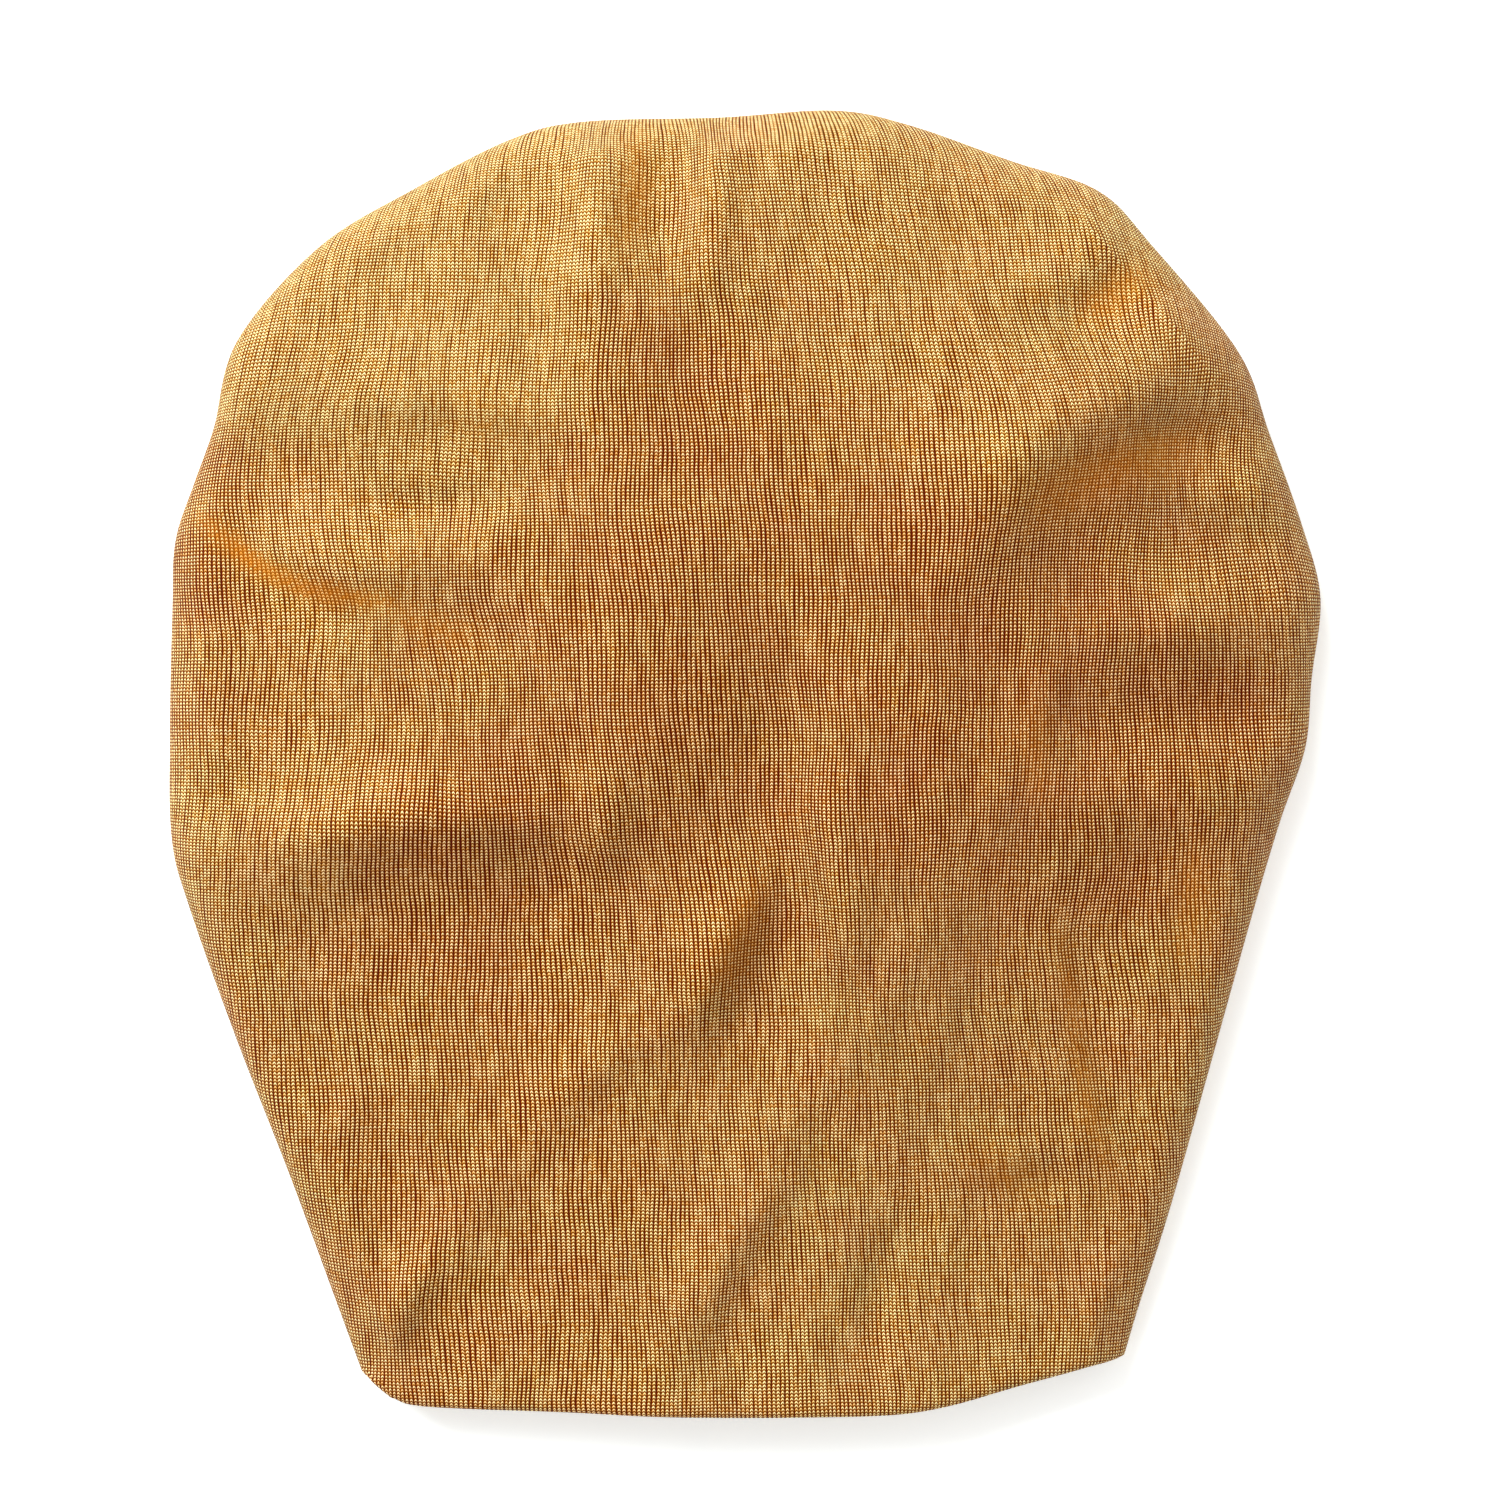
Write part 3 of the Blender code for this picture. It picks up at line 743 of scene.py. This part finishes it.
class Wiring:
    """A node tree under construction, with short ways to add nodes and join them."""

    def __init__(self, tree: bpy.types.NodeTree) -> None:
        """Starts with the tree's nodes cleared."""
        self.tree = tree
        tree.nodes.clear()

    def add(self, kind: str, inputs: dict | None = None, **settings: object) -> bpy.types.Node:
        """Adds a node.

        Args:
            kind: The node's type.
            inputs: Values or output sockets, by input name or number.
            settings: The node's own properties.

        Returns:
            The new node.
        """
        node = self.tree.nodes.new(kind)
        for name, value in settings.items():
            setattr(node, name, value)
        for key, value in (inputs or {}).items():
            if isinstance(value, Socket):
                self.tree.links.new(value, node.inputs[key])
            else:
                node.inputs[key].default_value = value
        return node

    def out(self, kind: str, inputs: dict | None = None, **settings: object) -> Socket:
        """Adds a node and returns its first output."""
        return self.add(kind, inputs, **settings).outputs[0]

    def math(self, operation: str, *values: object) -> Socket:
        """Output of a Math node that works on the given values."""
        return self.out("ShaderNodeMath", dict(enumerate(values)), operation=operation)

    def vector(self, operation: str, *values: object) -> Socket:
        """Output of a Vector Math node that works on the given values."""
        return self.out("ShaderNodeVectorMath", dict(enumerate(values)), operation=operation)

    def rise(self, value: Socket, low: float, high: float) -> Socket:
        """How far a value has risen from low to high, from 0 to 1."""
        return self.out("ShaderNodeMapRange", {"Value": value, "From Min": low, "From Max": high})

    def between(self, value: Socket, low: object, high: object) -> Socket:
        """Rescales a value from 0 to 1 into the given range."""
        return self.out("ShaderNodeMapRange", {"Value": value, "To Min": low, "To Max": high})

    def blend(self, share: object, first: object, second: object, how: str = "MIX") -> Socket:
        """Mixes two colours by a share of the second."""
        node = self.add("ShaderNodeMix", {0: share, 6: first, 7: second}, data_type="RGBA", blend_type=how)
        return node.outputs[2]


@dataclass(frozen=True)
class JerseyFinish:
    """Fine single jersey in shiny golden yarn, seen from its face or from its reverse."""

    name: str
    side: Side
    wale: float = 0.00066  # from one column of loops to the next
    course: float = 0.00054  # from one row of loops to the next
    loop_slant: float = 0.70  # by how much of a course a loop's legs drop from the middle to the sides
    bead_ease: float = 0.75  # how soft the step is between a loop and the dip before the next
    loop_dip: float = 0.16  # height left there for the colours, which paint shade into the dip
    gap_share: float = 0.34  # share of a loop's width that the widest gap takes
    gap_softness: float = 1.3
    rib_powers: tuple = (0.25, 0.75)  # how flat-topped a wale is between closed and between open gaps
    loop_relief: float = 0.00036  # height of the bumps
    relief_dip: float = 0.38  # height left in them between two loops of a column
    dullest_loop: float = 0.72  # height of the lowest loop beside the highest
    dullest_row: float = 0.88  # the same for a row
    sway_reach: float = 1.4  # loops by which the columns and rows sway
    sway_length: float = 0.016
    waver_reach: float = 0.13  # loops by which they waver from one to the next
    waver_length: float = 0.0030
    noise_range: tuple = (0.3, 0.7)  # the part of the noise that is spread from 0 to 1
    streak_width: float = 1.2  # loops across a stretch of open or closed gap
    streak_length: float = 14.0  # loops along it
    row_length: float = 24.0  # loops across a stretch of brighter or darker row
    row_width: float = 1.3  # loops along it
    patch_length: float = 24.0  # loops across a patch of warmer or cooler yarn
    reverse_gaps: float = 0.4  # how far the gaps stand open on the reverse, beside the face
    stops: tuple = (0.0, 0.25, 0.48, 0.76)  # heights at which the next four colours stand
    # painted shade: dark where the gaps between wales lie in their own shade
    gap: tuple = (0.060, 0.001, 0.000, 1.0)
    shade: tuple = (0.275, 0.080, 0.002, 1.0)
    yarn: tuple = (0.615, 0.270, 0.028, 1.0)
    # the yarn's colour with a painted highlight, pale as the glint on the loops' crests
    crest: tuple = (1.000, 0.865, 0.485, 1.0)
    # tint where the gaps are closed: cool patches and the painted hue of lit cloth
    straw_lit_tint: tuple = (1.00, 1.05, 0.92, 1.0)
    # tint where the gaps stand open: warm patches and painted shade
    mauve_shade_tint: tuple = (1.06, 0.90, 0.96, 1.0)
    # painted shade laid along taut creases
    amber_crease_shade: tuple = (0.92, 0.68, 0.42, 1.0)
    patch_share: float = 0.7  # how much the patches say in the tint, beside the gaps and the painted shade they carry
    # how far open gaps redden the tint with painted shade
    gap_shade_share: float = 1.2
    even_gaps_and_shade: float = 0.50  # share of open gaps that leaves the tint as it is; more gaps paint shade, fewer paint the lit straw hue
    uv_map: str = "Lay"
    # attribute of open gaps, set higher in shaded places so as to paint shade there
    gap_and_shade_attribute: str = "gaps_and_painted_shade"
    # attribute of taut creases, which also carries their painted amber shade
    taut_and_shade_attribute: str = "taut_and_crease_shade"
    taut_height: float = 0.40  # the even height of loops that are pulled flat
    dull: float = 0.70  # roughness in the gaps
    shiny: float = 0.40  # roughness on the crests
    gloss: float = 0.10
    gloss_colour: tuple = (1.0, 0.70, 0.20, 1.0)

    def place(self, wiring: Wiring) -> Socket:
        """Counts the loops.

        Args:
            wiring: The material's nodes.

        Returns:
            The knit coordinates as loops across and along, swaying and wavering a little.
        """
        lay = wiring.out("ShaderNodeUVMap", uv_map=self.uv_map)
        place = wiring.vector("MULTIPLY", lay, (1 / self.wale, 1 / self.course, 0.0))
        for reach, length in ((self.sway_reach, self.sway_length), (self.waver_reach, self.waver_length)):
            noise = wiring.add("ShaderNodeTexNoise", {"Vector": lay, "Scale": 1 / length, "Detail": 0.0})
            shift = wiring.vector("SUBTRACT", noise.outputs["Color"], (0.5, 0.5, 0.5))
            place = wiring.vector("MULTIPLY_ADD", shift, (2 * reach, reach, 0.0), place)
        return place

    def patches(self, wiring: Wiring, loops: Socket, across: float, along: float, detail: float) -> Socket:
        """Patches of noise.

        Args:
            wiring: The material's nodes.
            loops: The place in loops across and along.
            across: Loops across a patch.
            along: Loops along it.
            detail: Octaves of the noise.

        Returns:
            Values from 0 to 1.
        """
        stretch = {"Vector": loops, "Scale": (1 / across, 1 / along, 1.0)}
        noise = {"Vector": wiring.out("ShaderNodeMapping", stretch), "Scale": 1.0, "Detail": detail}
        return wiring.rise(wiring.out("ShaderNodeTexNoise", noise), *self.noise_range)

    def carried(self, wiring: Wiring, attribute: str) -> Socket:
        """A value that the cloth carries as an attribute."""
        return wiring.add("ShaderNodeAttribute", attribute_name=attribute).outputs["Fac"]

    def relief(self, wiring: Wiring, loops: Socket) -> tuple[Socket, Socket]:
        """Height of the yarn, 0 in the gaps between wales and 1 on the crest of a loop.

        Args:
            wiring: The material's nodes.
            loops: The place in loops across and along.

        Returns:
            The height that the colours follow, and a height with shallower dips for the relief.
        """
        across, along, _ = wiring.add("ShaderNodeSeparateXYZ", {0: loops}).outputs
        middle = wiring.math("SUBTRACT", wiring.math("FRACT", across), 0.5)
        leg = wiring.math("MULTIPLY", wiring.math("ABSOLUTE", middle), 2.0)
        slant = self.loop_slant if self.side is Side.FACE else 0.0
        phase = wiring.math("MULTIPLY_ADD", leg, slant, along)
        wave = wiring.math("COSINE", wiring.math("MULTIPLY", phase, 2 * math.pi))
        bead = wiring.rise(wave, -self.bead_ease, self.bead_ease)

        streaks = self.patches(wiring, loops, self.streak_width, self.streak_length, 2.0)
        soft = self.gap_softness / 2
        # Open gaps widen the dark gap colour, which paints shade between the wales; the gap attribute is
        # higher where the cloth lies in shade.
        pull = wiring.math("ADD", streaks, self.carried(wiring, self.gap_and_shade_attribute))
        open_gap_and_shade = wiring.rise(pull, 1 - soft, 1 + soft)
        if self.side is Side.REVERSE:
            open_gap_and_shade = wiring.between(open_gap_and_shade, 0.0, self.reverse_gaps)
        edge = wiring.math("SUBTRACT", 1.0, wiring.math("MULTIPLY", open_gap_and_shade, self.gap_share))
        far = wiring.math("MINIMUM", wiring.math("DIVIDE", leg, edge), 1.0)
        rib = wiring.math("COSINE", wiring.math("MULTIPLY", far, math.pi / 2))
        full = wiring.math("POWER", rib, wiring.between(open_gap_and_shade, *self.rib_powers))

        rows = self.patches(wiring, loops, self.row_length, self.row_width, 1.0)
        row = wiring.math("FLOOR", wiring.math("ADD", phase, 0.5))
        one = wiring.out("ShaderNodeCombineXYZ", {"X": wiring.math("FLOOR", across), "Y": row})
        own = wiring.add("ShaderNodeTexWhiteNoise", {"Vector": one}, noise_dimensions="2D").outputs["Value"]
        own, rows = wiring.between(own, self.dullest_loop, 1.0), wiring.between(rows, self.dullest_row, 1.0)
        uneven = wiring.math("MULTIPLY", own, rows)
        # Taut creases flatten the loops here; the colours also paint amber shade along them.
        taut_and_crease_shade = self.carried(wiring, self.taut_and_shade_attribute)
        heights = []
        for dip in (self.loop_dip, self.relief_dip):
            even = wiring.math("MULTIPLY", full, wiring.between(bead, dip, 1.0))
            heights.append(wiring.between(taut_and_crease_shade, wiring.math("MULTIPLY", even, uneven), self.taut_height))
        return tuple(heights)

    def colour(self, wiring: Wiring, loops: Socket, relief: Socket) -> Socket:
        """Colour from painted shade in the gaps over mustard yarn to pale crests that carry a painted
        highlight, in warmer and cooler patches, with painted shade where gaps stand open and along taut
        creases.

        Args:
            wiring: The material's nodes.
            loops: The place in loops across and along.
            relief: The height of the yarn.

        Returns:
            The colour.
        """
        ramp_node = wiring.add("ShaderNodeValToRGB", {"Fac": relief})
        stops = tuple(zip(self.stops, (self.gap, self.shade, self.yarn, self.crest)))
        elements = ramp_node.color_ramp.elements
        while len(elements) < len(stops):
            elements.new(0.5)
        for element, (place, colour) in zip(elements, stops):
            element.position, element.color = place, colour
        patches = self.patches(wiring, loops, self.patch_length, self.patch_length, 4.0)
        gaps, taut_and_crease_shade = (self.carried(wiring, name) for name in (self.gap_and_shade_attribute, self.taut_and_shade_attribute))
        # Open gaps, raised where the cloth lies in shade, paint shade by turning the tint mauve; closed gaps
        # give the lit straw tint.
        gap_shade = wiring.math("MULTIPLY", wiring.math("SUBTRACT", gaps, self.even_gaps_and_shade), self.gap_shade_share)
        tone_and_shade = wiring.math("MULTIPLY_ADD", patches, self.patch_share, gap_shade)
        # Painted shade: amber along taut creases, over the straw or mauve tint.
        tint_and_shade = wiring.blend(taut_and_crease_shade, wiring.blend(tone_and_shade, self.straw_lit_tint, self.mauve_shade_tint), self.amber_crease_shade)
        return wiring.blend(1.0, ramp_node.outputs[0], tint_and_shade, "MULTIPLY")

    def build(self) -> bpy.types.Material:
        """The finish as a material."""
        material = bpy.data.materials.new(self.name)
        material.use_nodes = True
        wiring = Wiring(material.node_tree)
        loops = self.place(wiring)
        yarn, relief = self.relief(wiring, loops)
        bump = {"Height": relief, "Distance": self.loop_relief, "Strength": 1.0}
        surface = {
            "Base Color": self.colour(wiring, loops, yarn),
            "Roughness": wiring.between(yarn, self.dull, self.shiny),
            "Normal": wiring.out("ShaderNodeBump", bump),
            "Specular IOR Level": self.gloss,
            "Specular Tint": self.gloss_colour,
        }
        wiring.add("ShaderNodeOutputMaterial", {"Surface": wiring.out("ShaderNodeBsdfPrincipled", surface)})
        return material


@dataclass(frozen=True)
class FineSlack:
    """Shallow ripples that the slack of the knit leaves along its wales, made by Geometry Nodes."""

    height: float = 0.0014
    width: float = 0.0055
    length: float = 0.020
    seed: float = 4.0

    def tree(self, values: dict[str, object]) -> bpy.types.NodeTree:
        """The tree of nodes.

        Args:
            values: The inputs beside the cloth, by name, with what they will be set to.

        Returns:
            The tree, which moves the cloth and gives it its finishes.
        """
        tree = bpy.data.node_groups.new("fine_slack", "GeometryNodeTree")
        for way in ("OUTPUT", "INPUT"):
            tree.interface.new_socket("Cloth", in_out=way, socket_type="NodeSocketGeometry")
        for name, value in values.items():
            kind = "NodeSocketFloat" if isinstance(value, float) else "NodeSocketMaterial"
            tree.interface.new_socket(name, in_out="INPUT", socket_type=kind)
        wiring = Wiring(tree)
        given = wiring.add("NodeGroupInput").outputs
        width, length = (wiring.math("DIVIDE", 1.0, given[f"Ripple {size}"]) for size in ("Width", "Length"))
        scale = wiring.out("ShaderNodeCombineXYZ", {"X": width, "Y": length})
        place = wiring.vector("MULTIPLY", wiring.out("GeometryNodeInputPosition"), scale)
        inputs = {"Vector": place, "W": given["Seed"], "Scale": 1.0, "Detail": 1.5}
        noise = wiring.out("ShaderNodeTexNoise", inputs, noise_dimensions="4D")
        lift = wiring.math("MULTIPLY", wiring.math("SUBTRACT", noise, 0.5), given["Ripple Height"])
        slack, inside = (
            wiring.out("GeometryNodeInputNamedAttribute", {"Name": name}, data_type=kind)
            for name, kind in (("slack", "FLOAT"), ("inside", "BOOLEAN"))
        )
        offset = wiring.out("ShaderNodeCombineXYZ", {"Z": wiring.math("MULTIPLY", lift, slack)})
        moved = wiring.out("GeometryNodeSetPosition", {"Geometry": given["Cloth"], "Offset": offset})
        real = wiring.out("GeometryNodeRealizeInstances", {"Geometry": moved})
        faced = wiring.out("GeometryNodeSetMaterial", {"Geometry": real, "Material": given["Face Finish"]})
        lining = {"Geometry": faced, "Selection": inside, "Material": given["Reverse Finish"]}
        wiring.add("NodeGroupOutput", {0: wiring.out("GeometryNodeSetMaterial", lining)})
        return tree

    def settle(self, cloth: bpy.types.Object, face: bpy.types.Material, reverse: bpy.types.Material) -> None:
        """Runs the ripples over the cloth and leaves it as a plain mesh.

        Args:
            cloth: The cap's cloth.
            face: The finish of the outer side.
            reverse: The finish of the inner side.
        """
        values = {
            "Ripple Height": self.height,
            "Ripple Width": self.width,
            "Ripple Length": self.length,
            "Seed": self.seed,
            "Face Finish": face,
            "Reverse Finish": reverse,
        }
        modifier = cloth.modifiers.new("fine_slack", "NODES")
        modifier.node_group = self.tree(values)
        for item in modifier.node_group.interface.items_tree:
            if item.in_out == "INPUT" and item.name in values:
                modifier[item.identifier] = values[item.name]
        evaluated = cloth.evaluated_get(bpy.context.evaluated_depsgraph_get())
        plain = bpy.data.meshes.new_from_object(evaluated)
        cloth.modifiers.remove(modifier)
        old, cloth.data = cloth.data, plain
        plain.name = cloth.name
        bpy.data.meshes.remove(old)


class Panel(NamedTuple):
    """A rectangle of the flat map, which one stretch of the cloth fills."""

    left: float
    low: float
    width: float
    height: float

    def fit(self, lay: Array) -> Array:
        """Fits knit coordinates into the rectangle.

        Args:
            lay: Knit coordinates, one a row.

        Returns:
            The same places inside the rectangle, all at one scale.
        """
        low, high = lay.min(0), lay.max(0)
        scale = min(self.width / (high[0] - low[0]), self.height / (high[1] - low[1]))
        return (lay - low) * scale + (self.left, self.low)


@dataclass(frozen=True)
class CapCloth:
    """The cap's one piece of cloth, from its form to its finish."""

    name: str
    bag: Bag
    lay: KnitLay
    taut_and_crease_shade: Folds
    slack: FineSlack
    face: JerseyFinish
    reverse: JerseyFinish
    flat_width: float = 0.368  # the bag cut open along one side and spread out
    flat_length: float = 0.212
    flat_area: float = 0.068  # less than that rectangle, as the crown is round and the sides narrow
    slack_reach: float = 0.012  # ripples start this far in from the outline
    upper_panel: Panel = Panel(0.004, 0.004, 0.800, 0.860)
    under_panel: Panel = Panel(0.812, 0.004, 0.184, 0.220)
    upper_lining_panel: Panel = Panel(0.812, 0.240, 0.184, 0.240)
    under_lining_panel: Panel = Panel(0.812, 0.500, 0.184, 0.220)

    def slack_share(self, places: Array) -> Array:
        """Share of the ripples' full height that each vertex takes."""
        reach = ramp(self.bag.form.inset(places[:, :2]) - self.slack_reach / 2, self.slack_reach)
        return reach * (places[:, 2] > self.bag.form.hem_half_height)

    def mesh(self) -> bpy.types.Mesh:
        """The closed skin, with the lie of its knit and its flat map as UV maps."""
        outer = self.bag.outer()
        opening, count = outer.opening, len(outer.places)
        inner = outer.places - outer.vertex_normals() * self.bag.walls(outer)[:, None]
        nose = self.bag.nose(outer, inner)
        ring, rows = len(opening), len(nose) + 1
        nose_loops = 2 * count + np.arange(len(nose) * ring).reshape(len(nose), ring)
        loops = [opening, *nose_loops, opening + count]
        closed = [np.append(loop, loop[0]) for loop in loops]
        hem = np.vstack([strip(second, first) for first, second in zip(closed, closed[1:])])
        quads = np.vstack([outer.quads, outer.quads[:, ::-1] + count, hem])

        upper, under = self.lay.settle_on(outer), outer.places[:, :2]
        turn = math.pi / 2 * self.bag.hem_wall / rows
        steps = [(0.0, k * turn) for k in range(1, rows)]
        front, back = (
            np.vstack([lay, lay, *(lay[opening] - step for step in steps)])[quads.reshape(-1)]
            for lay in (upper, under)
        )
        front_ring = self.bag.across + self.bag.rows_over + self.bag.rows_under
        hem_front = np.tile(np.arange(ring) < front_ring, rows)
        is_front = np.repeat(np.concatenate([outer.front, outer.front, hem_front]), 4)
        inside = np.repeat([False, True, False], [len(outer.quads), len(outer.quads), len(hem)])
        inside_corner = np.repeat(inside, 4)
        knit = np.where(is_front[:, None], front, back)
        flat = np.zeros_like(knit)
        for panel, wanted in (
            (self.upper_panel, is_front & ~inside_corner),
            (self.under_panel, ~is_front & ~inside_corner),
            (self.upper_lining_panel, is_front & inside_corner),
            (self.under_lining_panel, ~is_front & inside_corner),
        ):
            flat[wanted] = panel.fit(knit[wanted])

        mesh = bpy.data.meshes.new(self.name)
        mesh.from_pydata(np.vstack([outer.places, inner, *nose]).tolist(), [], quads.tolist())
        for name, lay in ((self.face.uv_map, knit), ("OFBake", flat)):
            mesh.uv_layers.new(name=name).data.foreach_set("uv", lay.astype(np.float32).ravel())
        places = np.vstack([outer.places, outer.places, *[outer.places[opening]] * len(nose)])
        for name, kind, domain, values in (
            ("slack", "FLOAT", "POINT", self.slack_share(places)),
            # open gaps, which also paint shade where they are set high
            (self.face.gap_and_shade_attribute, "FLOAT", "POINT", self.lay.grain_at(places[:, :2])[2]),
            # taut creases, with their painted amber shade
            (self.face.taut_and_shade_attribute, "FLOAT", "POINT", np.clip(self.taut_and_crease_shade.heights(places[:, :2]), 0, 1)),
            ("inside", "BOOLEAN", "FACE", inside),
        ):
            mesh.attributes.new(name, kind, domain).data.foreach_set("value", values)
        mesh.shade_smooth()
        return mesh

    def build(self) -> bpy.types.Object:
        """The finished cloth, riding on the part's body in place of its solid."""
        cloth = placed(self.name, self.mesh())
        self.slack.settle(cloth, self.face.build(), self.reverse.build())
        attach(cloth, ROOT)
        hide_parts(NODE)
        log.info("%s: %d vertices, %d faces", cloth.name, len(cloth.data.vertices), len(cloth.data.polygons))
        return cloth


@dataclass(frozen=True)
class Studio:
    """Pale floor, soft window light from the upper left and a camera straight above."""

    floor_size: float = 6.0
    floor_drop: float = 0.0003
    floor_colour: tuple = (0.83, 0.94, 1.00, 1.0)
    floor_glow: float = 0.36  # light that the floor gives off itself
    sky_colour: tuple = (1.00, 0.89, 0.82, 1.0)
    fill: float = 0.88
    key_colour: tuple = (1.00, 1.00, 0.97)
    key_watts: float = 395.0
    key_size: float = 3.4
    key_distance: float = 4.5
    key_way: tuple = (-0.46, 0.64, 0.616)
    view_width: float = 0.240
    view_centre: tuple = (0.00064, 0.0016)
    view_height: float = 2.5
    sensor: float = 36.0

    def floor(self) -> bpy.types.Object:
        """A plain pale floor just under the cap."""
        half = self.floor_size / 2
        corners = [(x * half, y * half, -self.floor_drop) for x, y in ((-1, -1), (1, -1), (1, 1), (-1, 1))]
        mesh = bpy.data.meshes.new("floor")
        mesh.from_pydata(corners, [], [(0, 1, 2, 3)])
        material = bpy.data.materials.new("pale_floor")
        material.use_nodes = True
        surface = {
            "Base Color": self.floor_colour,
            "Roughness": 0.9,
            "Specular IOR Level": 0.1,
            "Emission Color": (1.0, 1.0, 1.0, 1.0),
            "Emission Strength": self.floor_glow,
        }
        for name, value in surface.items():
            material.node_tree.nodes["Principled BSDF"].inputs[name].default_value = value
        mesh.materials.append(material)
        floor = placed("floor", mesh)
        return floor

    def lights(self) -> None:
        """One soft key light, and an even pale sky for the rest."""
        data = bpy.data.lights.new("window", "AREA")
        data.shape, data.size, data.energy = "SQUARE", self.key_size, self.key_watts
        data.color = self.key_colour
        way = Vector(self.key_way).normalized()
        light = placed("window", data)
        light.location = way * self.key_distance
        light.rotation_euler = way.to_track_quat("Z", "Y").to_euler()
        world = bpy.data.worlds.new("studio")
        world.use_nodes = True
        sky = world.node_tree.nodes["Background"]
        sky.inputs["Color"].default_value = self.sky_colour
        sky.inputs["Strength"].default_value = self.fill
        bpy.context.scene.world = world

    def camera(self) -> None:
        """A long lens that looks straight down, with the crown at the top of the picture."""
        data = bpy.data.cameras.new("camera")
        data.sensor_width = self.sensor
        data.lens = self.sensor * self.view_height / self.view_width
        data.clip_start, data.clip_end = 0.1, 20.0
        camera = placed("camera", data)
        camera.location = (*self.view_centre, self.view_height)
        bpy.context.scene.camera = camera

    def build(self) -> None:
        """Sets up the floor, the lights and the camera."""
        self.floor()
        self.lights()
        self.camera()
        bpy.context.scene.view_settings.view_transform = "Standard"
        log.info("studio: floor, window light, sky and camera")


def main() -> None:
    """Builds the studio and the cap."""
    logging.basicConfig(level=logging.INFO, format="%(name)s %(message)s")
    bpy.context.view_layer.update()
    Studio().build()
    form = Form(SIDE_EDGE, HEM_LINE, Folds(MAIN_FOLDS + FINE_FOLDS))
    CapCloth(
        name="jersey_cap",
        bag=Bag(form),
        lay=KnitLay(GRAINS),
        taut_and_crease_shade=Folds(TAUT_AND_SHADED_CREASES),
        slack=FineSlack(),
        face=JerseyFinish("golden_jersey_face", Side.FACE),
        reverse=JerseyFinish("golden_jersey_reverse", Side.REVERSE),
    ).build()


if __name__ == "__main__":
    main()
